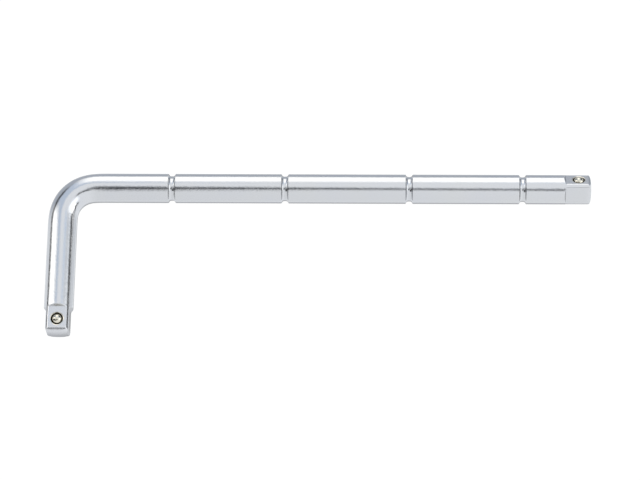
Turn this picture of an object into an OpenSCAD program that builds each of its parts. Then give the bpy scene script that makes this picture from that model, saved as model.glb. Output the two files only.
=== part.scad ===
// L-shaped breaker bar with a sprung detent ball in the square on each end.
// The tool lies flat: long arm along +X, short arm towards -Y, thickness along Z.
// The origin is the middle of the short arm's end.

/* [Handle] */
// Diameter of the round bar
bar_d = 16; // [15:0.1:17.5]
// Long arm, from the short arm's axis to its end
long_arm = 289; // [260:1:400]
// Short arm, from the long arm's axis to its end
short_arm = 85; // [60:1:140]
// Radius of the bend, to the middle of the bar
bend_r = 18; // [13:0.5:30]

/* [Grip grooves] */
// Width of a groove at the bar's surface
groove_w = 3.9; // [2:0.1:6]
// Depth of a groove
groove_depth = 1.3; // [0.5:0.1:1.9]
// From the long arm's square to the middle of the nearest groove
groove_margin = 22.1; // [10:0.1:30]
// Between the middles of the outer pairs of grooves
outer_grip = 62; // [40:1:64]
// Between the middles of the two inner grooves
inner_grip = 68; // [40:1:80]

/* [Square ends] */
// Across the flats of each square
drive_af = 12.7; // [12:0.1:13.2]
// Length of a flat, from the end to the foot of its shoulder
drive_len = 14.2; // [13:0.1:20]
// Length of the sloping shoulder between a flat and the round bar
shoulder_len = 1.25; // [0.5:0.05:4]
// Bevel on the end edge of each flat
edge_bevel = 1.1; // [0.5:0.05:1.6]
// Length of the turned rounding that takes the square's corners off
nose_len = 2.2; // [1:0.1:3]
// Depth of that rounding at the end
nose_depth = 1.5; // [0.5:0.1:2]
// Radius of the domed end
crown_r = 56; // [40:1:120]
// Turn of the long arm's square about its arm
drive_turn = 38; // [0:1:90]

/* [Detent] */
// Diameter of a detent ball
ball_d = 6; // [5:0.1:6.2]
// How far a released ball stands out of its flat
ball_proud = 1.4; // [1:0.05:1.5]
// From the arm's end to the middle of its ball
ball_inset = 6.9; // [6:0.1:9]
// Radial clearance between a ball and its hole
ball_gap = 0.1; // [0.05:0.01:0.15]
// Metal left between the tip of a hole and the far flat
hole_floor = 1.7; // [1:0.1:2.5]
// Diameter of the spring's wire
wire_d = 0.7; // [0.5:0.05:0.75]
// Outer diameter of a spring
spring_d = 5.5; // [4.5:0.1:5.7]

/* [Hidden] */
$fn = 96;

satin_chrome = [0.80, 0.82, 0.85];
ball_steel = [0.86, 0.84, 0.79];
spring_steel = [0.52, 0.53, 0.55];

bar_r = bar_d / 2;
flat_r = drive_af / 2;

// The turned rounding is part of a ball whose middle lies on the arm's axis, this far from the end.
nose_end_r = bar_r - nose_depth;
nose_centre = (bar_r * bar_r + nose_len * nose_len - nose_end_r * nose_end_r) / (2 * nose_len);
nose_r = sqrt(nose_end_r * nose_end_r + nose_centre * nose_centre);

// Every cutter runs past the metal by this much.
cut_over = 2;

// A groove is an arc in section, so its cutter is a ring of round section.
groove_arc_r = (groove_w * groove_w / 4 + groove_depth * groove_depth) / (2 * groove_depth);
groove_ring_r = bar_r - groove_depth + groove_arc_r;

// Distances of the grooves from the long arm's end.
groove_nearest = drive_len + shoulder_len + groove_margin;
groove_places = [
    groove_nearest,
    groove_nearest + outer_grip,
    groove_nearest + outer_grip + inner_grip,
    groove_nearest + 2 * outer_grip + inner_grip
];

// Depths in a detent hole are measured from its flat, towards the arm's axis.
ball_r = ball_d / 2;
ball_sink = ball_r - ball_proud;
hole_r = ball_r + ball_gap;

// The mouth is staked in round the ball: a shallow outer bevel, a steep crevice, and a lip that keeps the ball in.
lip_gap = 0.04;
lip_depth = 0.8;
lip_land = 0.4;
lip_r = sqrt(ball_r * ball_r - pow(ball_sink - lip_depth, 2)) + lip_gap;
crevice_margin = 0.3;
crevice_r = ball_r + crevice_margin;
stake_bevel_w = 0.5;
stake_bevel_depth = 0.15;

// The hole ends in the cone of a 118 degree drill.
drill_angle = 118;
hole_tip_h = hole_r / tan(drill_angle / 2);
hole_depth = drive_af - hole_floor - hole_tip_h;

// The spring's ends keep this clear of the ball and of the drilled cone.
wire_r = wire_d / 2;
coil_r = spring_d / 2 - wire_r;
seat_gap = 0.1;
coil_turns = 4;
coil_steps = 12;
wire_sides = 6;
coil_top = ball_sink + sqrt(pow(ball_r + wire_r + seat_gap, 2) - coil_r * coil_r);
coil_bottom = hole_depth
    + (hole_r - coil_r) / tan(drill_angle / 2)
    - (wire_r + seat_gap) / sin(drill_angle / 2);

// Puts an arm's own frame on the tool: its end at the origin, +Z out of the end.
module at_short_arm() {
    rotate([90, 0, 0])
        children();
}

module at_long_arm() {
    translate([long_arm, short_arm, 0])
        rotate([0, 90, 0])
            children();
}

// The same, turned so that +X points out through the ball.
module at_short_end() {
    at_short_arm()
        rotate([0, 0, 90])
            children();
}

module at_long_end() {
    at_long_arm()
        rotate([0, 0, 180 - drive_turn])
            children();
}

// Puts the hole's own frame on an arm: its mouth at the origin, +Z out of the flat.
module at_hole() {
    translate([flat_r, 0, -ball_inset])
        rotate([0, 90, 0])
            children();
}

// Round arm, left longer than its reach for the end to be turned.
module round_arm(reach) {
    translate([0, 0, -reach])
        cylinder(h = reach + cut_over, r = bar_r);
}

// What is turned off an arm's end to leave a shallow dome with a rounded rim.
module end_cutter() {
    difference() {
        translate([0, 0, -nose_centre])
            cylinder(h = nose_centre + 2 * cut_over, r = bar_r + cut_over);
        intersection() {
            translate([0, 0, -nose_centre])
                sphere(r = nose_r);
            translate([0, 0, -crown_r])
                sphere(r = crown_r);
        }
    }
}

// The two arms and the bend between them.
module bent_rod() {
    at_short_arm()
        round_arm(short_arm - bend_r);
    at_long_arm()
        round_arm(long_arm - bend_r);
    translate([bend_r, short_arm - bend_r, 0])
        rotate([0, 0, 90])
            rotate_extrude(angle = 90)
                translate([bend_r, 0])
                    circle(r = bar_r);
}

// Side view of the metal that comes off for one flat, its shoulder and its end bevel.
module flat_profile() {
    top_r = bar_r + cut_over;
    shoulder_run = shoulder_len * (top_r - flat_r) / (bar_r - flat_r);
    bevel_run = edge_bevel + 3 * cut_over;
    polygon([
        [flat_r - bevel_run, bevel_run - edge_bevel],
        [flat_r, -edge_bevel],
        [flat_r, -drive_len],
        [top_r, -drive_len - shoulder_run],
        [top_r, bevel_run - edge_bevel]
    ]);
}

// Four flats, which leave the square with the bar's own round at its corners.
module square_cutter() {
    for (side = [0:3])
        rotate([0, 0, side * 90])
            rotate([90, 0, 0])
                linear_extrude(height = bar_d + 2 * cut_over, center = true)
                    flat_profile();
}

// Blind hole for a ball and its spring, with its staked mouth.
module hole_cutter() {
    rotate_extrude()
        polygon([
            [0, cut_over],
            [crevice_r + stake_bevel_w, cut_over],
            [crevice_r + stake_bevel_w, 0],
            [crevice_r, -stake_bevel_depth],
            [lip_r, -lip_depth],
            [hole_r, -lip_depth - lip_land],
            [hole_r, -hole_depth],
            [0, -hole_depth - hole_tip_h]
        ]);
}

module groove_cutter() {
    rotate_extrude()
        translate([groove_ring_r, 0])
            circle(r = groove_arc_r);
}

module drive_cuts() {
    end_cutter();
    square_cutter();
    at_hole()
        hole_cutter();
}

module bar() {
    color(satin_chrome)
        difference() {
            bent_rod();
            at_short_end()
                drive_cuts();
            at_long_end()
                drive_cuts();
            at_long_arm()
                for (place = groove_places)
                    translate([0, 0, -place])
                        groove_cutter();
        }
}

// Ball held out against the lip of its hole.
module detent_ball() {
    color(ball_steel)
        at_hole()
            translate([0, 0, -ball_sink])
                sphere(r = ball_r);
}

// Middle of the wire, at a share of the way from the coil's top to its bottom.
function coil_point(part) = let (turn = 360 * coil_turns * part) [
    coil_r * cos(turn),
    coil_r * sin(turn),
    -coil_top - part * (coil_bottom - coil_top)
];

function unit(v) = v / norm(v);

// Direction of the wire at the same place.
function coil_heading(part) = let (turn = 360 * coil_turns * part) unit([
    -2 * PI * coil_turns * coil_r * sin(turn),
    2 * PI * coil_turns * coil_r * cos(turn),
    -(coil_bottom - coil_top)
]);

// Corners of the wire's section there, square to its heading.
function wire_ring(part) =
    let (
        turn = 360 * coil_turns * part,
        outward = [cos(turn), sin(turn), 0],
        upward = cross(outward, coil_heading(part))
    )
    [
        for (side = [0:wire_sides - 1])
            let (a = 360 * side / wire_sides)
                coil_point(part) + wire_r * (cos(a) * outward + sin(a) * upward)
    ];

coil_rings = coil_turns * coil_steps;

// One unbroken tube along the coil, closed by a flat cap at each end.
module detent_spring() {
    corners = [for (i = [0:coil_rings]) each wire_ring(i / coil_rings)];
    last = coil_rings * wire_sides;
    top_cap = [for (side = [1:wire_sides - 2]) [0, side, side + 1]];
    bottom_cap = [for (side = [1:wire_sides - 2]) [last, last + side + 1, last + side]];
    walls = [
        for (i = [0:coil_rings - 1], side = [0:wire_sides - 1])
            let (
                a = i * wire_sides + side,
                b = i * wire_sides + (side + 1) % wire_sides,
                c = a + wire_sides,
                d = b + wire_sides
            )
            each [[a, c, b], [b, c, d]]
    ];
    color(spring_steel)
        at_hole()
            polyhedron(points = corners, faces = concat(top_cap, bottom_cap, walls));
}

// Least space between one turn of the spring and another, measured ring by ring.
coil_space = min([
    for (i = [0:coil_rings], j = [0:coil_rings])
        if (j - i >= coil_steps / 2)
            norm(coil_point(i / coil_rings) - coil_point(j / coil_rings)) - wire_d
]);
echo(coil_space = coil_space);

module short_end_ball() {
    at_short_end()
        detent_ball();
}

module short_end_spring() {
    at_short_end()
        detent_spring();
}

module long_end_ball() {
    at_long_end()
        detent_ball();
}

module long_end_spring() {
    at_long_end()
        detent_spring();
}

bar();
short_end_ball();
short_end_spring();
long_end_ball();
long_end_spring();
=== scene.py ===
# %% [markdown]
# # An L-shaped breaker bar
# This tool turns square-drive sockets. It is one round steel bar, bent to an L, with a male square
# on each end. A sprung ball in each square keeps the socket on.
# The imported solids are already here, at their real size, in metres. The long arm runs along +X, the short
# arm towards -Y.
# We give them their looks: a plated bar with soft edges, polished balls, wound springs, a studio, a camera.

# %% Load the solids and note how much room they take
import math

import bmesh
import bpy
from mathutils import Matrix, Quaternion, Vector


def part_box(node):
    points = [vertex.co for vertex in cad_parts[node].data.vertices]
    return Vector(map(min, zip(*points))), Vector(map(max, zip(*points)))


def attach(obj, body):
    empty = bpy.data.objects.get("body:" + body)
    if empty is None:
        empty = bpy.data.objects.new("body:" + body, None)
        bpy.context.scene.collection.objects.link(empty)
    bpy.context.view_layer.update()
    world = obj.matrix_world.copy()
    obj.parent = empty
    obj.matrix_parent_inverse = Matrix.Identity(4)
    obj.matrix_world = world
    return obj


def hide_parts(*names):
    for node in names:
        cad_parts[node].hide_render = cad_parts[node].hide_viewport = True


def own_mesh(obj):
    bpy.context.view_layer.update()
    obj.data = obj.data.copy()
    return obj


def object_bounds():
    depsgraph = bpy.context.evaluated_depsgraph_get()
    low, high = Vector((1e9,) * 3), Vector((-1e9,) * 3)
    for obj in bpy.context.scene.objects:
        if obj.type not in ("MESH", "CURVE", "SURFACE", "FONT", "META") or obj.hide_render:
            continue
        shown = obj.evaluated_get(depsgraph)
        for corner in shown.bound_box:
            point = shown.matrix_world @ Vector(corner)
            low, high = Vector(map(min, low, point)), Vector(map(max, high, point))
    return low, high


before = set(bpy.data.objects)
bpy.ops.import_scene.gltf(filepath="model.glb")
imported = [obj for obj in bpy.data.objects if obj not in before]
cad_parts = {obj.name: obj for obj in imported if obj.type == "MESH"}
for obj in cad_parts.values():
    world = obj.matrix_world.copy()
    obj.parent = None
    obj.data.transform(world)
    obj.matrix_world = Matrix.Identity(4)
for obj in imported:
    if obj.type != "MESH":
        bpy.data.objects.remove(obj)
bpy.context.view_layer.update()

print("solids:", sorted(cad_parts))

# %% [markdown]
# ## Camera
# The photograph was taken from high in front of the tool with a long lens, so the arms hardly narrow
# with distance. Place and lens come from lining up the outline of the bar, its grooves and its bend.
# Blender's camera looks along its own -Z. We build that axis from two points, then roll about it.

# %% Camera
MM = 0.001
PHOTO_WIDTH = 640
SENSOR_WIDTH = 36.0
FOCAL_PIXELS = 2871
CAMERA_PLACE = Vector((179.9, -502.6, 1461.4)) * MM
CAMERA_AIM = Vector((140.96, 55.03, 0)) * MM
CAMERA_ROLL = math.radians(-3.52)
FURTHEST_SEEN = 20


def put_in_scene(name, data):
    """New object at the origin, in the scene's own collection."""
    thing = bpy.data.objects.new(name, data)
    bpy.context.scene.collection.objects.link(thing)
    return thing


view_line = CAMERA_PLACE - CAMERA_AIM
back = view_line.normalized()
level = Vector((0, 0, 1)).cross(back).normalized()
right = Quaternion(back, CAMERA_ROLL) @ level
camera_axes = Matrix((right, back.cross(right), back)).transposed()
camera = put_in_scene("camera", bpy.data.cameras.new("camera"))
camera.data.sensor_width = SENSOR_WIDTH
camera.data.lens = FOCAL_PIXELS * SENSOR_WIDTH / PHOTO_WIDTH
camera.data.clip_end = FURTHEST_SEEN
camera.matrix_world = Matrix.Translation(CAMERA_PLACE) @ camera_axes.to_4x4()
bpy.context.scene.camera = camera
print("lens in mm:", round(camera.data.lens, 1), "distance in m:", round(view_line.length, 3))

# %% [markdown]
# ## Three small helpers
# Colours are written as sRGB hex, as on a colour card. Shaders want linear light, so one function turns them.
# Every material and shape below is a tree of nodes. One function adds a node, sets it up and wires its
# inputs. A third starts a material with an empty tree.

# %% Helpers
MATH = "ShaderNodeMath"


def linear(hex_colour):
    """Linear RGBA of an sRGB hex colour."""
    shares = [int(hex_colour[i:i + 2], 16) / 255 for i in (1, 3, 5)]
    return [s / 12.92 if s <= 0.04045 else ((s + 0.055) / 1.055) ** 2.4 for s in shares] + [1.0]


def add(tree, kind, inputs=(), **settings):
    """Adds a node. inputs is a list in socket order, or a dict by socket name or number.

    A node or a socket among them is linked, and None leaves its socket as it is.
    """
    node = tree.nodes.new(kind)
    for setting, value in settings.items():
        setattr(node, setting, value)
    named = inputs.items() if isinstance(inputs, dict) else enumerate(inputs)
    for key, value in named:
        if isinstance(value, bpy.types.Node):
            value = next(s for s in value.outputs if s.enabled)
        if isinstance(value, bpy.types.NodeSocket):
            tree.links.new(value, node.inputs[key])
        elif value is not None:
            node.inputs[key].default_value = value
    return node


def empty_material(name):
    """New material without nodes, and its tree."""
    material = bpy.data.materials.new(name)
    material.use_nodes = True
    material.node_tree.nodes.clear()
    return material, material.node_tree


print("middle grey, #808080, in linear light:", round(linear("#808080")[0], 3))

# %% [markdown]
# ## Studio
# Chrome has almost no colour of its own: what we see on it is the studio. The bar looks as it would in
# a white tent, with three soft lamps glowing through it, behind, left and right, and with greyer cloth,
# stands and a camera, which show as the dark lines. Area lights could do the lamps, but not the dark
# things, so all of it goes on the sky: windows, which are soft-edged boxes in azimuth and elevation, and
# strips, which run from one direction to another.
# Angles are in degrees, azimuth from +X towards +Y. Later patches lie over earlier ones.

# %% The tent and its lamps
TENT_LIGHT = 1.25
TENT_COLOUR = "#f7faff"
STAND_COLOUR = "#f0f6ff"
BACKDROP_LIGHT = 1.02
# name, azimuth, elevation, half width, half height, half of the soft edge, light, colour
WINDOWS = [
    ("table near the tool", 10, -90, 190, 22, 17, 0.55, "#f5f8ff"),
    ("grey cloth in front on the left", -118, 0, 30, 52, 16, 1.11, "#f7faff"),
    ("shade under the tool", 95, -68, 42, 24, 12, 0.40, "#ffffff"),
    ("grey cloth behind", 89, -6, 64, 37, 11, 0.73, "#e8f0fd"),
    ("blue cloth high on the right", 57, 44, 24, 15, 9, 1.18, "#d6e7ff"),
    ("blue cloth left of the back lamp", 122, 43, 20, 24, 4, 1.05, "#deebff"),
    ("right lamp", -6, 36, 27, 14, 7, 1.95, "#f6faff"),
    ("right lamp's foot", 1, 13, 16, 9, 2, 2.30, "#ffffff"),
    ("back lamp", 92, 28, 17, 23, 10, 1.90, "#ffffff"),
    ("left lamp", 157, 27, 8, 30, 6, 2.00, "#ffffff"),
]
# name, azimuth and elevation of both ends, half width, half of the soft edge, light
STRIPS = [
    ("back stand, foot", 57, -16, 56, 2, 5, 4, 0.15),
    ("back stand", 56, 2, 37, 35, 8, 6, 0.04),
    ("edge of the back stand", 25.5, 14, 31, 43, 4, 4, 1.02),
    ("table edge on the right", 12, -13, 24, -10, 5, 5, 0.88),
    ("gap under the right lamp, left", -22, 6, -8, 4, 5, 4, 0.08),
    ("gap under the right lamp, middle", -8, 4, 5, -4, 5, 4, 0.08),
    ("gap under the right lamp, right", 5, -4, 19, 4, 5, 4, 0.08),
    ("gap beside the right lamp", 19, 4, 21.5, 14.5, 4.5, 4, 0.12),
    ("gap under the left lamp", 130, 18, 164, -3.5, 6.5, 7, 0.05),
    ("left stand", -172, -2, -160, 50, 9, 8, 0.15),
    ("boom over the tool", -142, 77, -106, 72, 5, 5, 0.14),
    ("camera arm", -108, 70.5, -80, 70, 4.5, 5.5, 0.42),
    ("end of the camera arm", -75, 61.5, -36, 62, 5, 5, 0.08),
    ("camera", -111, 48, -111, 67, 6, 6, 0.02),
    ("tripod leg", -168, 12, -120, 50, 9, 4, 0.01),
]


def direction(azimuth_degrees, elevation_degrees):
    """Unit vector towards a place on the sky."""
    a = math.radians(azimuth_degrees)
    e = math.radians(elevation_degrees)
    return Vector((math.cos(e) * math.cos(a), math.cos(e) * math.sin(a), math.sin(e)))


def soft_share(tree, offset, half_size, soft):
    """1 where offset is well inside half_size, 0 well outside it."""
    return add(tree, "ShaderNodeMapRange", [offset, half_size - soft, half_size + soft, 1, 0],
               interpolation_type="SMOOTHSTEP")


def laid_over(tree, share, below, light, colour, label):
    """Colour socket: a light of one colour laid over what is there, where share is 1."""
    # A Mix node for colours takes its share at input 0 and the colours at 6 and 7, and gives output 2.
    shown = [light * c for c in linear(colour)[:3]] + [1]
    mixed = add(tree, "ShaderNodeMix", {0: share, 6: below, 7: shown}, data_type="RGBA", label=label)
    return mixed.outputs[2]


# %% Build the sky
world = bpy.data.worlds.new("studio")
world.use_nodes = True
bpy.context.scene.world = world
sky = world.node_tree
sky.nodes.clear()
ray = add(sky, "ShaderNodeTexCoord").outputs["Generated"]
part = add(sky, "ShaderNodeSeparateXYZ", [ray]).outputs
azimuth = add(sky, MATH, [part["Y"], part["X"]], operation="ARCTAN2")
azimuth = add(sky, MATH, [azimuth], operation="DEGREES")
elevation = add(sky, MATH, [add(sky, MATH, [part["Z"]], operation="ARCSINE")], operation="DEGREES")
light = add(sky, "ShaderNodeRGB")
light.outputs[0].default_value = [TENT_LIGHT * c for c in linear(TENT_COLOUR)[:3]] + [1]
for label, middle_azimuth, middle_elevation, half_width, half_height, soft, level, colour in WINDOWS:
    aside = add(sky, MATH, [azimuth, middle_azimuth], operation="SUBTRACT")
    aside = add(sky, MATH, [add(sky, MATH, [aside, 180, -180], operation="WRAP")], operation="ABSOLUTE")
    above = add(sky, MATH, [elevation, middle_elevation], operation="SUBTRACT")
    above = add(sky, MATH, [above], operation="ABSOLUTE")
    within = [soft_share(sky, aside, half_width, soft), soft_share(sky, above, half_height, soft)]
    inside = add(sky, MATH, within, operation="MULTIPLY")
    light = laid_over(sky, inside, light, level, colour, label)
for label, from_azimuth, from_elevation, to_azimuth, to_elevation, half_width, soft, level in STRIPS:
    first = direction(from_azimuth, from_elevation)
    run = direction(to_azimuth, to_elevation) - first
    lead = add(sky, "ShaderNodeVectorMath", [ray, first], operation="SUBTRACT")
    travelled = add(sky, "ShaderNodeVectorMath", [lead, run / run.length_squared], operation="DOT_PRODUCT")
    travelled = add(sky, "ShaderNodeClamp", [travelled.outputs["Value"]])
    nearest = add(sky, "ShaderNodeVectorMath", [run, travelled, first], operation="MULTIPLY_ADD")
    nearest = add(sky, "ShaderNodeVectorMath", [nearest], operation="NORMALIZE")
    likeness = add(sky, "ShaderNodeVectorMath", [nearest, ray], operation="DOT_PRODUCT").outputs["Value"]
    away = add(sky, MATH, [add(sky, MATH, [likeness], operation="ARCCOSINE")], operation="DEGREES")
    light = laid_over(sky, soft_share(sky, away, half_width, soft), light, level, STAND_COLOUR, label)

# The camera itself sees a plain white backdrop. The tent is there for what it lights and what mirrors it.
background = add(sky, "ShaderNodeBackground", [light])
plain = add(sky, "ShaderNodeBackground", [linear("#ffffff"), BACKDROP_LIGHT])
seen = add(sky, "ShaderNodeLightPath").outputs["Is Camera Ray"]
both = add(sky, "ShaderNodeMixShader", [seen, background, plain])
add(sky, "ShaderNodeOutputWorld", [both])
print("windows:", len(WINDOWS), "strips:", len(STRIPS), "nodes:", len(sky.nodes))

# %% [markdown]
# ## Light table
# The tool lies on a white sheet that glows a little, as a light table does, so the tool's shadow hardly
# shows. More lamps would do that too, but the chrome would mirror them. The sheet is left out of
# reflections, so that the chrome mirrors only the tent and itself.

# %% Floor
FLOOR_SIDE = 6.0
FLOOR_GLOW = 0.95
floor_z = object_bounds()[0].z
floor_mesh = bpy.data.meshes.new("floor")
side = FLOOR_SIDE / 2
corners = [(-side, -side, floor_z), (side, -side, floor_z), (side, side, floor_z), (-side, side, floor_z)]
floor_mesh.from_pydata(corners, [], [(0, 1, 2, 3)])
floor = put_in_scene("floor", floor_mesh)
floor.visible_glossy = False
sheet, nodes = empty_material("white light table")
paper = add(nodes, "ShaderNodeBsdfDiffuse", [linear("#5a5a5a")])
glow = add(nodes, "ShaderNodeEmission", [linear("#ffffff"), FLOOR_GLOW])
add(nodes, "ShaderNodeOutputMaterial", [add(nodes, "ShaderNodeAddShader", [paper, glow])])
floor_mesh.materials.append(sheet)
bpy.context.scene.view_settings.view_transform = "Standard"
print("floor at z in mm:", round(floor_z / MM, 2))

# %% [markdown]
# ## Satin chrome
# The bar is forged alloy steel, tumbled smooth, then plated with nickel and a thin coat of chromium.
# Belts and tumbling stones leave a fine grain that runs along the bar, and plating follows it. So the
# mirror image stays crisp, but its edges are ragged: the dark lines break into short strokes. Forging
# leaves a slow waviness too. An image could carry the grain, but noise has no seams and no edge.
# The grain was made before the bar was bent, so it is read at the place that each point had on the
# straight bar. The real one is finer. It is drawn as coarse as it has to be to show in the picture.

# %% Satin chrome plate
GRAIN = 0.8 * MM
GRAIN_STRETCH = 2.2
GRAIN_RELIEF = 0.045 * MM
WAVE = 11 * MM
WAVE_RELIEF = 0.05 * MM
CLOUD = 16 * MM
# Cloudy patches: from and to of the noise, then the roughness at each.
CLOUD_TO_ROUGHNESS = [0.3, 0.7, 0.10, 0.14]
# The cutter leaves the flats this much rougher than the round bar.
MILLED_ROUGHNESS = 0.12
STRAIGHT_PLACE = "place on the straight bar"
MILLED_SHARE = "share milled"
MILLED_FADE = 0.25 * MM
chrome, nodes = empty_material("satin chrome plate on belt-ground, tumbled steel")
spot = add(nodes, "ShaderNodeAttribute", attribute_name=STRAIGHT_PLACE).outputs["Vector"]
grain_spot = add(nodes, "ShaderNodeVectorMath", [spot, (1 / GRAIN_STRETCH, 1, 1)], operation="MULTIPLY")
grain = add(nodes, "ShaderNodeTexNoise",
            {"Vector": grain_spot, "Scale": 1 / GRAIN, "Detail": 3.0, "Roughness": 0.6})
wave = add(nodes, "ShaderNodeTexNoise", {"Vector": spot, "Scale": 1 / WAVE, "Detail": 1.0})
cloud = add(nodes, "ShaderNodeTexNoise", {"Vector": spot, "Scale": 1 / CLOUD, "Detail": 2.0})
milled = add(nodes, "ShaderNodeAttribute", attribute_name=MILLED_SHARE).outputs["Fac"]
rough = add(nodes, "ShaderNodeMapRange", [cloud.outputs[0], *CLOUD_TO_ROUGHNESS])
rough = add(nodes, MATH, [milled, MILLED_ROUGHNESS, rough], operation="MULTIPLY_ADD")
tint = add(nodes, "ShaderNodeMix", {0: cloud.outputs[0], 6: linear("#c6c7ca"), 7: linear("#cacac8")},
           data_type="RGBA")
wavy = add(nodes, "ShaderNodeBump", {"Height": wave.outputs[0], "Strength": 1.0, "Distance": WAVE_RELIEF})
bump = add(nodes, "ShaderNodeBump",
           {"Height": grain.outputs[0], "Strength": 1.0, "Distance": GRAIN_RELIEF, "Normal": wavy})
surface = add(nodes, "ShaderNodeBsdfPrincipled",
              {"Base Color": tint.outputs[2], "Metallic": 1.0, "Roughness": rough, "Normal": bump})
add(nodes, "ShaderNodeOutputMaterial", [surface])
print("chrome:", len(nodes.nodes), "nodes, grain of", round(GRAIN / MM, 2), "mm")

# %% [markdown]
# ## The bar's shape
# The real bar starts as straight round stock. Its ends and its grooves are turned, the squares are milled,
# and then it is bent. A node tree can follow the same order, because every step is a rule:
# a ring of points at each place along the bar gets the radius of what is turned there, then the flats cut
# it, and at last the straight bar is laid along the L. Modelling it by hand would blur the edges that
# chrome shows off.

# %% Sizes, from the solids where they show them
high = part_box("bar")[1]
BAR_RADIUS = high.z
LONG_ARM = high.x
SHORT_ARM = high.y - BAR_RADIUS
# The solids turn the corner on one radius of 18 mm. A forged bend starts and ends gently, so it is tighter
# in its middle.
BEND_RADIUS = 17.2 * MM
BEND_EASE = 7 * MM
HALF_FLAT = 6.35 * MM
# The cutter left a steeper, crisper shoulder than the solids have, so the flats end nearer the tip.
DRIVE_LENGTH = 13.95 * MM
SHOULDER_LENGTH = 0.9 * MM
EDGE_BEVEL = 1.12 * MM
NOSE_LENGTH = 1.1 * MM
NOSE_DEPTH = 3.3 * MM
CROWN_RADIUS = 44 * MM
DRIVE_TURN = math.radians(38)
GROOVE_WIDTH = 3.9 * MM
GROOVE_DEPTH = 1.3 * MM
GROOVE_POWER = 3.5
GROOVE_MARGIN = 22.7 * MM
OUTER_GRIP = 62 * MM
INNER_GRIP = 68 * MM

short_straight = SHORT_ARM - BEND_RADIUS
bend_length = BEND_RADIUS * math.pi / 2
bar_length = short_straight + bend_length + LONG_ARM - BEND_RADIUS
groove_nearest = DRIVE_LENGTH + SHOULDER_LENGTH + GROOVE_MARGIN
groove_spacings = (0, OUTER_GRIP, OUTER_GRIP + INNER_GRIP, 2 * OUTER_GRIP + INNER_GRIP)
groove_places = [bar_length - groove_nearest - spacing for spacing in groove_spacings]
print("bar before bending, mm:", round(bar_length / MM, 2))
print("grooves from the short end, mm:", [round(g / MM, 2) for g in groove_places])

# %% How soft tumbling and plating left the edges, as the depth over which one face turns into the next
EDGE_SOFTNESS = 0.4 * MM
BEVEL_SOFTNESS = 1.9 * MM
FOOT_SOFTNESS = 0.4 * MM
CREST_SOFTNESS = 0.5 * MM
GROOVE_SOFTNESS = 0.2 * MM
FOOT_REACH = 0.5 * MM

# %% Where the rings go: close together where the shape turns, far apart on plain round bar
DOME_RINGS = 12
RIM_START_SHARE = 0.55
RIM_REACH = 0.24 * MM
RIM_STEP = 0.035 * MM
NOSE_STEP = 0.155 * MM
BEVEL_REACH = 3.1 * MM
FLAT_STEP = 1.6 * MM
SHOULDER_STEP = 0.06 * MM
GROOVE_STEP = 0.17 * MM
BEND_RINGS = 60
PLAIN_STEP = 8 * MM
GUARD_STEP = 0.5 * MM
LET_GO = 4 * MM
ROUNDING = 1e-6


def steps(start, end, step):
    """Places from start to just before end, evenly spaced, no further apart than step."""
    # Without this small allowance a rounding error could add a step.
    count = max(1, math.ceil((end - start) / step - ROUNDING))
    return [start + (end - start) * i / count for i in range(count)]


# The dome and the turned rounding are parts of two balls on the bar's axis. They meet at the rim.
nose_end_radius = BAR_RADIUS - NOSE_DEPTH
nose_ball = (BAR_RADIUS ** 2 + NOSE_LENGTH ** 2 - nose_end_radius ** 2) / (2 * NOSE_LENGTH)
rim_inset = nose_end_radius ** 2 / (2 * (CROWN_RADIUS - nose_ball))
rim_start = RIM_START_SHARE * rim_inset
rim_end = rim_inset + RIM_REACH
end_places = [rim_start * (i / DOME_RINGS) ** 2 for i in range(DOME_RINGS)]
end_places += steps(rim_start, rim_end, RIM_STEP)
end_places += steps(rim_end, BEVEL_REACH, NOSE_STEP)
end_places += steps(BEVEL_REACH, DRIVE_LENGTH - FOOT_REACH, FLAT_STEP)
shoulder_end = DRIVE_LENGTH + SHOULDER_LENGTH + CREST_SOFTNESS
end_places += steps(DRIVE_LENGTH - FOOT_REACH, shoulder_end, SHOULDER_STEP)
guard_end = shoulder_end + LET_GO
end_places += steps(shoulder_end, guard_end, GUARD_STEP)
groove_reach = GROOVE_WIDTH / 2 + GROOVE_SOFTNESS
places = list(end_places)
plain_from = guard_end
bend_step = (bend_length + 2 * BEND_EASE) / BEND_RINGS
stretches = [(short_straight - BEND_EASE, short_straight + bend_length + BEND_EASE, bend_step)]
stretches += [(g - groove_reach, g + groove_reach, GROOVE_STEP) for g in sorted(groove_places)]
for start, end, step in stretches:
    places += [plain_from] + steps(plain_from + GUARD_STEP, start - GUARD_STEP, PLAIN_STEP)
    places += [start - GUARD_STEP]
    places += steps(start, end, step)
    plain_from = end
places += [plain_from] + steps(plain_from + GUARD_STEP, bar_length - guard_end, PLAIN_STEP)
places += [bar_length - guard_end] + [bar_length - p for p in reversed(end_places)]
spine = bpy.data.meshes.new("spine")
spine.from_pydata([(p, 0, 0) for p in places], [(i, i + 1) for i in range(len(places) - 1)], [])
rod = put_in_scene("rod", spine)
print("rings:", len(places))

# %% Starting a tree, and running one
def shape_tree(name, sizes):
    """New tree that makes a shape, with an input for each size, and the sockets of those inputs."""
    tree = bpy.data.node_groups.new(name, "GeometryNodeTree")
    tree.is_modifier = True
    tree.interface.new_socket("Geometry", in_out="INPUT", socket_type="NodeSocketGeometry")
    tree.interface.new_socket("Geometry", in_out="OUTPUT", socket_type="NodeSocketGeometry")
    for size in sizes:
        tree.interface.new_socket(size, in_out="INPUT", socket_type="NodeSocketFloat")
    return tree, tree.nodes.new("NodeGroupInput").outputs


def with_modifiers_run(source, name):
    """Plain mesh object of what source's modifiers make. It takes the place of source."""
    bpy.context.view_layer.update()
    evaluated = source.evaluated_get(bpy.context.evaluated_depsgraph_get())
    made = put_in_scene(name, bpy.data.meshes.new_from_object(evaluated))
    bpy.data.objects.remove(source)
    return made


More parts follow.
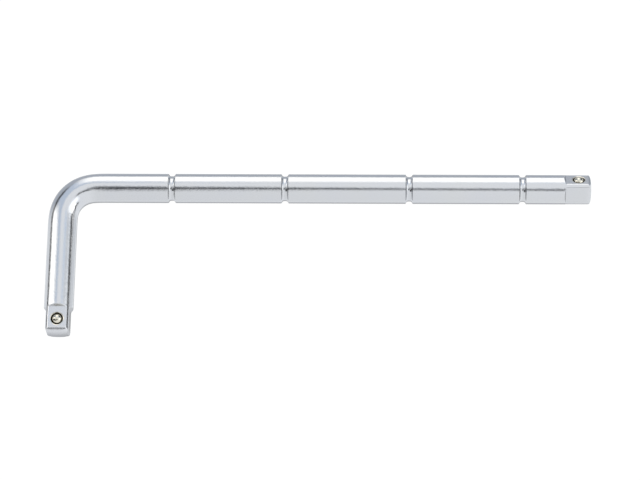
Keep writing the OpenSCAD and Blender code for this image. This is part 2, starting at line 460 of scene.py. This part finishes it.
def shaped_by(tree, sizes, source, name):
    """Plain mesh object of what the tree makes of source at these sizes. It takes the place of source."""
    modifier = source.modifiers.new(tree.name, "NODES")
    modifier.node_group = tree
    sockets = {s.name: s.identifier for s in tree.interface.items_tree if s.in_out == "INPUT"}
    for size, value in sizes.items():
        modifier[sockets[size]] = value
    return with_modifiers_run(source, name)


# %% The tree: inputs
SIDES = 240
GROOVE_INPUTS = ["Groove 1", "Groove 2", "Groove 3", "Groove 4"]

bar_sizes = {
    "Bar Radius": BAR_RADIUS, "Bar Length": bar_length, "Short Straight": short_straight,
    "Bend Radius": BEND_RADIUS, "Bend Ease": BEND_EASE,
    "Half Flat": HALF_FLAT, "Drive Length": DRIVE_LENGTH, "Drive Turn": DRIVE_TURN,
    "Shoulder Length": SHOULDER_LENGTH, "Foot Softness": FOOT_SOFTNESS, "Crest Softness": CREST_SOFTNESS,
    "Edge Bevel": EDGE_BEVEL, "Bevel Softness": BEVEL_SOFTNESS, "Edge Softness": EDGE_SOFTNESS,
    "Nose Length": NOSE_LENGTH, "Nose Depth": NOSE_DEPTH, "Crown Radius": CROWN_RADIUS,
    "Groove Width": GROOVE_WIDTH, "Groove Depth": GROOVE_DEPTH, "Groove Power": GROOVE_POWER,
    "Groove Softness": GROOVE_SOFTNESS,
}
bar_sizes.update(zip(GROOVE_INPUTS, groove_places))
tree, given = shape_tree("turned, milled and bent bar", bar_sizes)
print("inputs:", len(bar_sizes))

# %% The tree: turn the ends and the grooves
# along is the distance from the short end, inset the distance from the nearer end.
ring = add(tree, "GeometryNodeCurvePrimitiveCircle", {"Resolution": SIDES, "Radius": 1.0})
curve = add(tree, "GeometryNodeMeshToCurve", [given["Geometry"]])
tube = add(tree, "GeometryNodeCurveToMesh", [curve, ring])
here = add(tree, "ShaderNodeSeparateXYZ", [add(tree, "GeometryNodeInputPosition")]).outputs
along = here["X"]
other_way = add(tree, MATH, [given["Bar Length"], along], operation="SUBTRACT")
inset = add(tree, MATH, [along, other_way], operation="MINIMUM")

crown_twice = add(tree, MATH, [given["Crown Radius"], 2.0], operation="MULTIPLY")
crown_inset = add(tree, MATH, [inset, given["Crown Radius"]], operation="MINIMUM")
crown_left = add(tree, MATH, [crown_twice, crown_inset], operation="SUBTRACT")
crown_square = add(tree, MATH, [crown_left, crown_inset], operation="MULTIPLY")
crown = add(tree, MATH, [crown_square], operation="SQRT")

# The rounding at the rim is part of a ball whose middle is on the bar's axis.
end_radius = add(tree, MATH, [given["Bar Radius"], given["Nose Depth"]], operation="SUBTRACT")
bar_square = add(tree, MATH, [given["Bar Radius"], given["Bar Radius"]], operation="MULTIPLY")
nose_length = given["Nose Length"]
nose_square = add(tree, MATH, [nose_length, nose_length, bar_square], operation="MULTIPLY_ADD")
end_square = add(tree, MATH, [end_radius, end_radius], operation="MULTIPLY")
nose_lead = add(tree, MATH, [nose_square, end_square], operation="SUBTRACT")
nose_twice = add(tree, MATH, [nose_length, 2.0], operation="MULTIPLY")
nose_centre = add(tree, MATH, [nose_lead, nose_twice], operation="DIVIDE")
ball_square = add(tree, MATH, [nose_centre, nose_centre, end_square], operation="MULTIPLY_ADD")
short_of = add(tree, MATH, [nose_centre, inset], operation="SUBTRACT")
short_of = add(tree, MATH, [short_of, 0.0], operation="MAXIMUM")
short_square = add(tree, MATH, [short_of, short_of], operation="MULTIPLY")
nose = add(tree, MATH, [ball_square, short_square], operation="SUBTRACT")
nose = add(tree, MATH, [nose], operation="SQRT")
turned = add(tree, MATH, [crown, nose, given["Edge Softness"]], operation="SMOOTH_MIN")
turned = add(tree, MATH, [turned, given["Bar Radius"], given["Edge Softness"]], operation="SMOOTH_MIN")

# A groove has steep walls and a rounded floor: it rises as a power of the distance from its middle.
# Only the nearest of the four matters at any ring.
from_groove = given["Bar Length"]
for name in GROOVE_INPUTS:
    off = add(tree, MATH, [along, given[name]], operation="SUBTRACT")
    off = add(tree, MATH, [off], operation="ABSOLUTE")
    from_groove = add(tree, MATH, [off, from_groove], operation="MINIMUM")
half_width = add(tree, MATH, [given["Groove Width"], 0.5], operation="MULTIPLY")
groove_part = add(tree, MATH, [from_groove, half_width], operation="DIVIDE")
groove_rise = add(tree, MATH, [groove_part, given["Groove Power"]], operation="POWER")
floor_radius = add(tree, MATH, [given["Bar Radius"], given["Groove Depth"]], operation="SUBTRACT")
groove = add(tree, MATH, [groove_rise, given["Groove Depth"], floor_radius], operation="MULTIPLY_ADD")
turned = add(tree, MATH, [turned, groove, given["Groove Softness"]], operation="SMOOTH_MIN")
print("nodes that turn the ends and the grooves:", len(tree.nodes))

# %% The tree: mill the flats
# flat is how far the milled face is from the axis at this ring: bevelled at the end, sloping up at the
# shoulder.
slope_rise = add(tree, MATH, [given["Bar Radius"], given["Half Flat"]], operation="SUBTRACT")
slope = add(tree, MATH, [slope_rise, given["Shoulder Length"]], operation="DIVIDE")
past_flat = add(tree, MATH, [inset, given["Drive Length"]], operation="SUBTRACT")
shoulder = add(tree, MATH, [past_flat, slope, given["Half Flat"]], operation="MULTIPLY_ADD")
flat = add(tree, MATH, [given["Half Flat"], shoulder, given["Foot Softness"]], operation="SMOOTH_MAX")
bevel_start = add(tree, MATH, [given["Half Flat"], given["Edge Bevel"]], operation="SUBTRACT")
bevel = add(tree, MATH, [inset, bevel_start], operation="ADD")
flat = add(tree, MATH, [flat, bevel, given["Bevel Softness"]], operation="SMOOTH_MIN")

# The angle round the bar, from +Z towards the outside of the bend, is split into the flat that it faces
# and the rest.
angle = add(tree, MATH, [here["Y"], here["Z"]], operation="ARCTAN2")
half_way = add(tree, MATH, [given["Bar Length"], 0.5], operation="MULTIPLY")
long_end = add(tree, MATH, [along, half_way], operation="GREATER_THAN")
turn = add(tree, MATH, [given["Drive Turn"], long_end], operation="MULTIPLY")
from_turn = add(tree, MATH, [angle, turn], operation="SUBTRACT")
eighth_turn = math.pi / 4
aside = add(tree, MATH, [from_turn, eighth_turn, -eighth_turn], operation="WRAP")
facing = add(tree, MATH, [angle, aside], operation="SUBTRACT")

# Points slide round the ring until one lies on the edge between flat and corner, so that edges come out
# clean.
EDGE_ANGLE = math.radians(37.5)
LEAST_ANGLE = math.radians(3)
FOLLOW_FROM = 0.45 * MM
FOLLOW_FULL = 0.6 * MM
edge_share = add(tree, MATH, [flat, turned], operation="DIVIDE", use_clamp=True)
edge_angle = add(tree, MATH, [edge_share], operation="ARCCOSINE")
edge_angle = add(tree, MATH, [edge_angle, LEAST_ANGLE], operation="MAXIMUM")
shoulder_crest = add(tree, MATH, [given["Drive Length"], given["Shoulder Length"]], operation="ADD")
past_shoulder = add(tree, MATH, [inset, shoulder_crest], operation="SUBTRACT")
let_go = add(tree, "ShaderNodeMapRange", [past_shoulder, 0.0, LET_GO, 1.0, 0.0],
             interpolation_type="SMOOTHSTEP")
take_up = add(tree, "ShaderNodeMapRange", [inset, FOLLOW_FROM, FOLLOW_FULL, 0.0, 1.0])
follow = add(tree, MATH, [let_go, take_up], operation="MULTIPLY")
edge_shift = add(tree, MATH, [edge_angle, EDGE_ANGLE], operation="SUBTRACT")
edge_angle = add(tree, MATH, [edge_shift, follow, EDGE_ANGLE], operation="MULTIPLY_ADD")
aside_size = add(tree, MATH, [aside], operation="ABSOLUTE")
on_flat = add(tree, MATH, [aside_size, EDGE_ANGLE], operation="DIVIDE", use_clamp=True)
on_corner = add(tree, "ShaderNodeMapRange", [aside_size, EDGE_ANGLE, eighth_turn, 0.0, 1.0])
corner_span = add(tree, MATH, [eighth_turn, edge_angle], operation="SUBTRACT")
corner_part = add(tree, MATH, [on_corner, corner_span], operation="MULTIPLY")
new_size = add(tree, MATH, [on_flat, edge_angle, corner_part], operation="MULTIPLY_ADD")
aside = add(tree, MATH, [new_size, add(tree, MATH, [aside], operation="SIGN")], operation="MULTIPLY")
flat_here = add(tree, MATH, [flat, add(tree, MATH, [aside], operation="COSINE")], operation="DIVIDE")
softness = add(tree, "ShaderNodeMapRange",
               [past_flat, 0.0, given["Shoulder Length"], given["Edge Softness"], given["Crest Softness"]])
radius = add(tree, MATH, [turned, flat_here, softness], operation="SMOOTH_MIN")
angle = add(tree, MATH, [facing, aside], operation="ADD")
print("nodes with those that mill the flats:", len(tree.nodes))

# %% The tree: bend the bar and finish
# outward is the distance from the bar's middle line towards the outside of the bend.
outward = add(tree, MATH, [radius, add(tree, MATH, [angle], operation="SINE")], operation="MULTIPLY")
upward = add(tree, MATH, [radius, add(tree, MATH, [angle], operation="COSINE")], operation="MULTIPLY")
bend_arc = add(tree, MATH, [given["Bend Radius"], math.pi / 2], operation="MULTIPLY")
from_centre = add(tree, MATH, [given["Bend Radius"], outward], operation="ADD")


def on_plain_bend(shift_share):
    """Where a point lands, from the bend's centre, if it lies this share of the ease further along."""
    further = add(tree, MATH, [given["Bend Ease"], shift_share, along], operation="MULTIPLY_ADD")
    past_start = add(tree, MATH, [further, given["Short Straight"]], operation="SUBTRACT")
    bent_by = add(tree, MATH, [past_start, given["Bend Radius"]], operation="DIVIDE")
    bent_by = add(tree, MATH, [bent_by, 0.0], operation="MAXIMUM")
    bent_by = add(tree, MATH, [bent_by, math.pi / 2], operation="MINIMUM")
    past_end = add(tree, MATH, [past_start, bend_arc], operation="SUBTRACT")
    on_long = add(tree, MATH, [past_end, 0.0], operation="MAXIMUM")
    on_short = add(tree, MATH, [past_start, 0.0], operation="MINIMUM")
    cosine = add(tree, MATH, [bent_by], operation="COSINE")
    sine = add(tree, MATH, [bent_by], operation="SINE")
    across = add(tree, MATH, [from_centre, cosine], operation="MULTIPLY")
    up_page = add(tree, MATH, [sine, from_centre, on_short], operation="MULTIPLY_ADD")
    x = add(tree, MATH, [on_long, across], operation="SUBTRACT")
    return add(tree, "ShaderNodeCombineXYZ", [x, up_page, upward])


# The mean of a few such places, weighted towards the middle one, eases the bar into its bend and out of it.
EASE_WEIGHTS = {-1.0: 1 / 16, -0.5: 4 / 16, 0.0: 6 / 16, 0.5: 4 / 16, 1.0: 1 / 16}
place = add(tree, "ShaderNodeCombineXYZ", [given["Bend Radius"], given["Short Straight"], 0.0])
for shift_share, weight in EASE_WEIGHTS.items():
    place = add(tree, "ShaderNodeVectorMath", [on_plain_bend(shift_share), [weight] * 3, place],
                operation="MULTIPLY_ADD")
straight_place = add(tree, "ShaderNodeCombineXYZ", [along, outward, upward])
marked = add(tree, "GeometryNodeStoreNamedAttribute",
             {"Geometry": tube, "Name": STRAIGHT_PLACE, "Value": straight_place},
             data_type="FLOAT_VECTOR", domain="CORNER")
off_turned = add(tree, MATH, [turned, radius], operation="SUBTRACT")
milled = add(tree, "ShaderNodeMapRange", [off_turned, 0.0, MILLED_FADE, 0.0, 1.0])
marked = add(tree, "GeometryNodeStoreNamedAttribute",
             {"Geometry": marked, "Name": MILLED_SHARE, "Value": milled},
             data_type="FLOAT", domain="CORNER")
bent = add(tree, "GeometryNodeSetPosition", {"Geometry": marked, "Position": place})
POLE_MERGE = 0.002 * MM
closed = add(tree, "GeometryNodeMergeByDistance", {"Geometry": bent, "Distance": POLE_MERGE})
smooth = add(tree, "GeometryNodeSetShadeSmooth", {"Geometry": closed})
real = add(tree, "GeometryNodeRealizeInstances", [smooth])
plated = add(tree, "GeometryNodeSetMaterial", {"Geometry": real, "Material": chrome})
tree.links.new(plated.outputs[0], tree.nodes.new("NodeGroupOutput").inputs[0])
print("nodes in the tree:", len(tree.nodes))

# %% Run the tree
blank = shaped_by(tree, bar_sizes, rod, "blank")
print("bar before drilling:", len(blank.data.vertices), "points", len(blank.data.polygons), "faces")

# %% [markdown]
# ## Detent holes
# A ball and its spring drop into a blind hole in one flat of each square. Then a ring punch is struck
# round the ball: it coins a shallow rim, splits a crevice beside the ball and pushes a lip over it. So the
# outline of the cutter below is the outline of a staked hole. One lathe-turned cutter serves both ends.
# Cutting with a Boolean hands the cutter's own materials to the walls that it leaves: bare oily steel
# inside, painted near black as the shade deep in the hole, and burnished plate on the rim. Painting the faces
# by hand afterwards would be guesswork.

# %% The hole's own frame: its mouth at the origin, +Z out of the flat
BALL_RADIUS = 3.0 * MM
BALL_PROUD = 1.4 * MM
BALL_INSET = 6.9 * MM
short_frame = Matrix.Translation((0, BALL_INSET, HALF_FLAT))
long_out = Vector((0, math.sin(DRIVE_TURN), math.cos(DRIVE_TURN)))
long_mouth = Vector((LONG_ARM - BALL_INSET, SHORT_ARM, 0)) + HALF_FLAT * long_out
long_frame = Matrix.Translation(long_mouth) @ Matrix.Rotation(-DRIVE_TURN, 4, "X")
ball_sink = BALL_RADIUS - BALL_PROUD
print("ball centre below its flat, mm:", round(ball_sink / MM, 2))

# %% Bare steel in the hole, with painted shade, and the rim that the punch burnished
# A drill leaves the wall rough and oil tints it brown. Its near-black colour is painted shade for the dark
# deep in the hole, so the hole looks almost black with a brownish sheen.
OIL_SPOT = 0.8 * MM
BORE_ROUGHNESS = 0.45
shaded_bore_steel, nodes = empty_material("drilled alloy steel, oily, painted dark with shade")
spot = add(nodes, "ShaderNodeTexCoord").outputs["Object"]
oil = add(nodes, "ShaderNodeTexNoise", {"Vector": spot, "Scale": 1 / OIL_SPOT, "Detail": 2.0})
# Both near-black browns are painted shade with oil's tint; the noise mixes them at random.
tone = add(nodes, "ShaderNodeMix", {0: oil.outputs[0], 6: linear("#29251a"), 7: linear("#5b543f")},
           data_type="RGBA")
surface = add(nodes, "ShaderNodeBsdfPrincipled",
              {"Base Color": tone.outputs[2], "Metallic": 1.0, "Roughness": BORE_ROUGHNESS})
add(nodes, "ShaderNodeOutputMaterial", [surface])

# The punch rubs the plate smooth and scuffs it, so the rim glints in places, a little warmer than the bar.
# Scuffs: from and to of the noise, then the roughness at each.
SCUFF = 0.35 * MM
SCUFF_TO_ROUGHNESS = [0.3, 0.7, 0.12, 0.24]
coined, nodes = empty_material("chrome plate burnished by the stake punch")
spot = add(nodes, "ShaderNodeTexCoord").outputs["Object"]
scuff = add(nodes, "ShaderNodeTexNoise", {"Vector": spot, "Scale": 1 / SCUFF, "Detail": 2.0})
tone = add(nodes, "ShaderNodeMix", {0: scuff.outputs[0], 6: linear("#b9b3a4"), 7: linear("#e2ddd0")},
           data_type="RGBA")
rough = add(nodes, "ShaderNodeMapRange", [scuff.outputs[0], *SCUFF_TO_ROUGHNESS])
surface = add(nodes, "ShaderNodeBsdfPrincipled",
              {"Base Color": tone.outputs[2], "Metallic": 1.0, "Roughness": rough})
add(nodes, "ShaderNodeOutputMaterial", [surface])
print("hole finishes:", shaded_bore_steel.name, "and", coined.name)

# %% The cutter's outline, as radius and height in millimetres, and the cutters
CUTTER_SIDES = 96
CUT_OVER = 1
HOLE_OUTLINE = [
    # from the middle above the flat to the rim's outer edge
    (0, CUT_OVER), (3.8, CUT_OVER), (3.8, 0),
    # the coined rim, sloping in to the crevice
    (3.74, -0.03), (3.36, -0.135), (3.3, -0.17),
    # the crevice, down to the lip
    (3.28, -0.24), (2.95, -0.78), (2.93, -0.86),
    # under the lip, out to the bore
    (3.08, -1.14), (3.1, -1.2),
    # the bore and the drill's cone
    (3.1, -9.1), (3.06, -9.18), (0, -11.0),
]
RIM_DEPTH = 0.15


def lathe(name, outline, sides, frame_matrix):
    """Closed mesh object: an outline of (radius, height) in mm turned about +Z, then moved by a matrix."""
    points, rings = [], []
    for radius_mm, height_mm in outline:
        count = sides if radius_mm else 1
        rings.append(range(len(points), len(points) + count))
        for i in range(count):
            a = math.tau * i / sides
            corner = Vector((radius_mm * math.cos(a), radius_mm * math.sin(a), height_mm))
            points.append(frame_matrix @ (corner * MM))
    faces = []
    for upper, lower in zip(rings, rings[1:]):
        for i in range(sides):
            j = (i + 1) % sides
            down = [upper[i % len(upper)], lower[i % len(lower)]]
            up = [lower[j % len(lower)], upper[j % len(upper)]]
            # A ring of one point is a pole, where the face is a triangle.
            faces.append(list(dict.fromkeys(down + up)))
    mesh = bpy.data.meshes.new(name)
    mesh.from_pydata(points, [], faces)
    mesh.shade_smooth()
    return put_in_scene(name, mesh)


cutters = []
for place_name, hole_frame in (("short", short_frame), ("long", long_frame)):
    cutter = lathe(place_name + "_cutter", HOLE_OUTLINE, CUTTER_SIDES, hole_frame)
    cutter.data.materials.append(shaded_bore_steel)
    cutter.data.materials.append(coined)
    to_hole = hole_frame.inverted()
    for face in cutter.data.polygons:
        # Faces below the rim take the near-black steel whose colour is painted shade; faces on the rim take
        # the burnished plate.
        face.material_index = int((to_hole @ face.center).z > -RIM_DEPTH * MM)
    cutters.append(cutter)
    cut = blank.modifiers.new(place_name + " hole", "BOOLEAN")
    cut.operation = "DIFFERENCE"
    cut.solver = "EXACT"
    cut.material_mode = "TRANSFER"
    cut.object = cutter
bar = with_modifiers_run(blank, "plated_bar")
for cutter in cutters:
    bpy.data.objects.remove(cutter)
print("holes cut:", len(cutters))

# %% Keep edges crisp where one finish meets another, and where a real corner is
CORNER = math.radians(32)
SLIVER = 0.0001 * MM
steel = bmesh.new()
steel.from_mesh(bar.data)
bmesh.ops.dissolve_degenerate(steel, dist=SLIVER, edges=steel.edges)
for edge in steel.edges:
    finishes = {face.material_index for face in edge.link_faces}
    if len(finishes) > 1 or edge.calc_face_angle(0) > CORNER:
        edge.smooth = False
open_edges = sum(not edge.is_manifold for edge in steel.edges)
steel_volume = steel.calc_volume()
steel.to_mesh(bar.data)
steel.free()
print("bar:", len(bar.data.polygons), "faces,", open_edges, "open edges")
print("bar's volume in mm3:", round(steel_volume / MM ** 3, 1))

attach(bar, "handle")
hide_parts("bar")

# %% [markdown]
# ## Balls
# Bearing balls are hardened, ground and lapped, so they mirror more sharply than the plated bar and look
# warmer. Blender has a sphere to add, but the lathe above already turns any outline, and a half circle
# turned with it lands in the hole's own frame.

# %% Lapped bearing steel, and the two balls
# Sockets rub the ball, so its mirror is faintly marked. Marks: from and to of the noise, then the roughness
# at each.
BALL_RINGS = 48
RUB_MARK = 0.5 * MM
RUB_TO_ROUGHNESS = [0.35, 0.7, 0.02, 0.06]
lapped, nodes = empty_material("lapped bearing steel")
spot = add(nodes, "ShaderNodeTexCoord").outputs["Object"]
marks = add(nodes, "ShaderNodeTexNoise", {"Vector": spot, "Scale": 1 / RUB_MARK, "Detail": 3.0})
tone = add(nodes, "ShaderNodeMix", {0: marks.outputs[0], 6: linear("#bdb7a6"), 7: linear("#e0dbcc")},
           data_type="RGBA")
rough = add(nodes, "ShaderNodeMapRange", [marks.outputs[0], *RUB_TO_ROUGHNESS])
surface = add(nodes, "ShaderNodeBsdfPrincipled",
              {"Base Color": tone.outputs[2], "Metallic": 1.0, "Roughness": rough})
add(nodes, "ShaderNodeOutputMaterial", [surface])

ball_radius_mm = BALL_RADIUS / MM
ball_sink_mm = ball_sink / MM
arcs = [math.pi * i / BALL_RINGS for i in range(1, BALL_RINGS)]
ball_outline = [(0, ball_radius_mm - ball_sink_mm)]
ball_outline += [(ball_radius_mm * math.sin(a), ball_radius_mm * math.cos(a) - ball_sink_mm) for a in arcs]
ball_outline += [(0, -ball_radius_mm - ball_sink_mm)]
for piece_name, hole_frame, body, node in (
        ("short_ball", short_frame, "short_ball", "short_end_ball"),
        ("long_ball", long_frame, "long_ball", "long_end_ball")):
    ball = lathe(piece_name, ball_outline, 2 * BALL_RINGS, hole_frame)
    ball.data.materials.append(lapped)
    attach(ball, body)
    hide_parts(node)
    print(piece_name, "on", body, "replaces", node, "with", len(ball.data.polygons), "faces")

# %% [markdown]
# ## Springs
# Behind each ball a spring of hard-drawn wire pushes it out. A curve drawn by hand could wind too, but
# a spring is a rule from end to end: turns, height and wire. So a tree winds it.
# The same tree winds both, and each is then moved into its own hole.

# %% Hard-drawn spring wire
# Drawing through a die leaves the wire grey, smooth and a little streaky, duller than the plated bar.
DRAWN_STREAK = 0.6 * MM
WIRE_ROUGHNESS = 0.34
wire_steel, nodes = empty_material("hard-drawn spring wire")
spot = add(nodes, "ShaderNodeTexCoord").outputs["Object"]
drawn = add(nodes, "ShaderNodeTexNoise", {"Vector": spot, "Scale": 1 / DRAWN_STREAK, "Detail": 2.0})
tone = add(nodes, "ShaderNodeMix", {0: drawn.outputs[0], 6: linear("#77797d"), 7: linear("#9a9ca0")},
           data_type="RGBA")
surface = add(nodes, "ShaderNodeBsdfPrincipled",
              {"Base Color": tone.outputs[2], "Metallic": 1.0, "Roughness": WIRE_ROUGHNESS})
add(nodes, "ShaderNodeOutputMaterial", [surface])
print("wire finish:", wire_steel.name)

# %% The tree: wind wire about +Z, from the ball down to the drill's cone
SPRING_TURNS = 4
TURN_STEPS = 40
WIRE_SIDES = 16
spring_sizes = {"Coil Radius": 2.4 * MM, "Wire Radius": 0.35 * MM, "Top": 4.08 * MM, "Bottom": 9.0 * MM}
winding, given = shape_tree("wound spring", spring_sizes)
line = add(winding, "GeometryNodeCurvePrimitiveLine")
fine = add(winding, "GeometryNodeResampleCurve", {"Curve": line, "Count": SPRING_TURNS * TURN_STEPS + 1})
part = add(winding, "GeometryNodeSplineParameter").outputs["Factor"]
turn = add(winding, MATH, [part, math.tau * SPRING_TURNS], operation="MULTIPLY")
cosine = add(winding, MATH, [turn], operation="COSINE")
sine = add(winding, MATH, [turn], operation="SINE")
coil_x = add(winding, MATH, [given["Coil Radius"], cosine], operation="MULTIPLY")
coil_y = add(winding, MATH, [given["Coil Radius"], sine], operation="MULTIPLY")
drop = add(winding, MATH, [given["Top"], given["Bottom"]], operation="SUBTRACT")
top_height = add(winding, MATH, [given["Top"], -1.0], operation="MULTIPLY")
coil_z = add(winding, MATH, [part, drop, top_height], operation="MULTIPLY_ADD")
coil_place = add(winding, "ShaderNodeCombineXYZ", [coil_x, coil_y, coil_z])
coil = add(winding, "GeometryNodeSetPosition", {"Geometry": fine, "Position": coil_place})
section = add(winding, "GeometryNodeCurvePrimitiveCircle",
              {"Resolution": WIRE_SIDES, "Radius": given["Wire Radius"]})
wire = add(winding, "GeometryNodeCurveToMesh",
           {"Curve": coil, "Profile Curve": section, "Fill Caps": True})
wire = add(winding, "GeometryNodeSetShadeSmooth", {"Geometry": wire})
wire = add(winding, "GeometryNodeRealizeInstances", [wire])
wire = add(winding, "GeometryNodeSetMaterial", {"Geometry": wire, "Material": wire_steel})
winding.links.new(wire.outputs[0], winding.nodes.new("NodeGroupOutput").inputs[0])
print("nodes in the spring's tree:", len(winding.nodes))

# %% Wind both springs
# A pressed ball is flush with its flat, so it travels as far as it stood out.
for piece_name, hole_frame, joint, node in (
        ("short_spring", short_frame, "short_ball_press", "short_end_spring"),
        ("long_spring", long_frame, "long_ball_press", "long_end_spring")):
    unwound = put_in_scene("unwound", bpy.data.meshes.new("unwound"))
    spring = shaped_by(winding, spring_sizes, unwound, piece_name)
    spring.data.transform(hole_frame)
    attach(spring, "handle")
    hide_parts(node)
    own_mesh(spring)
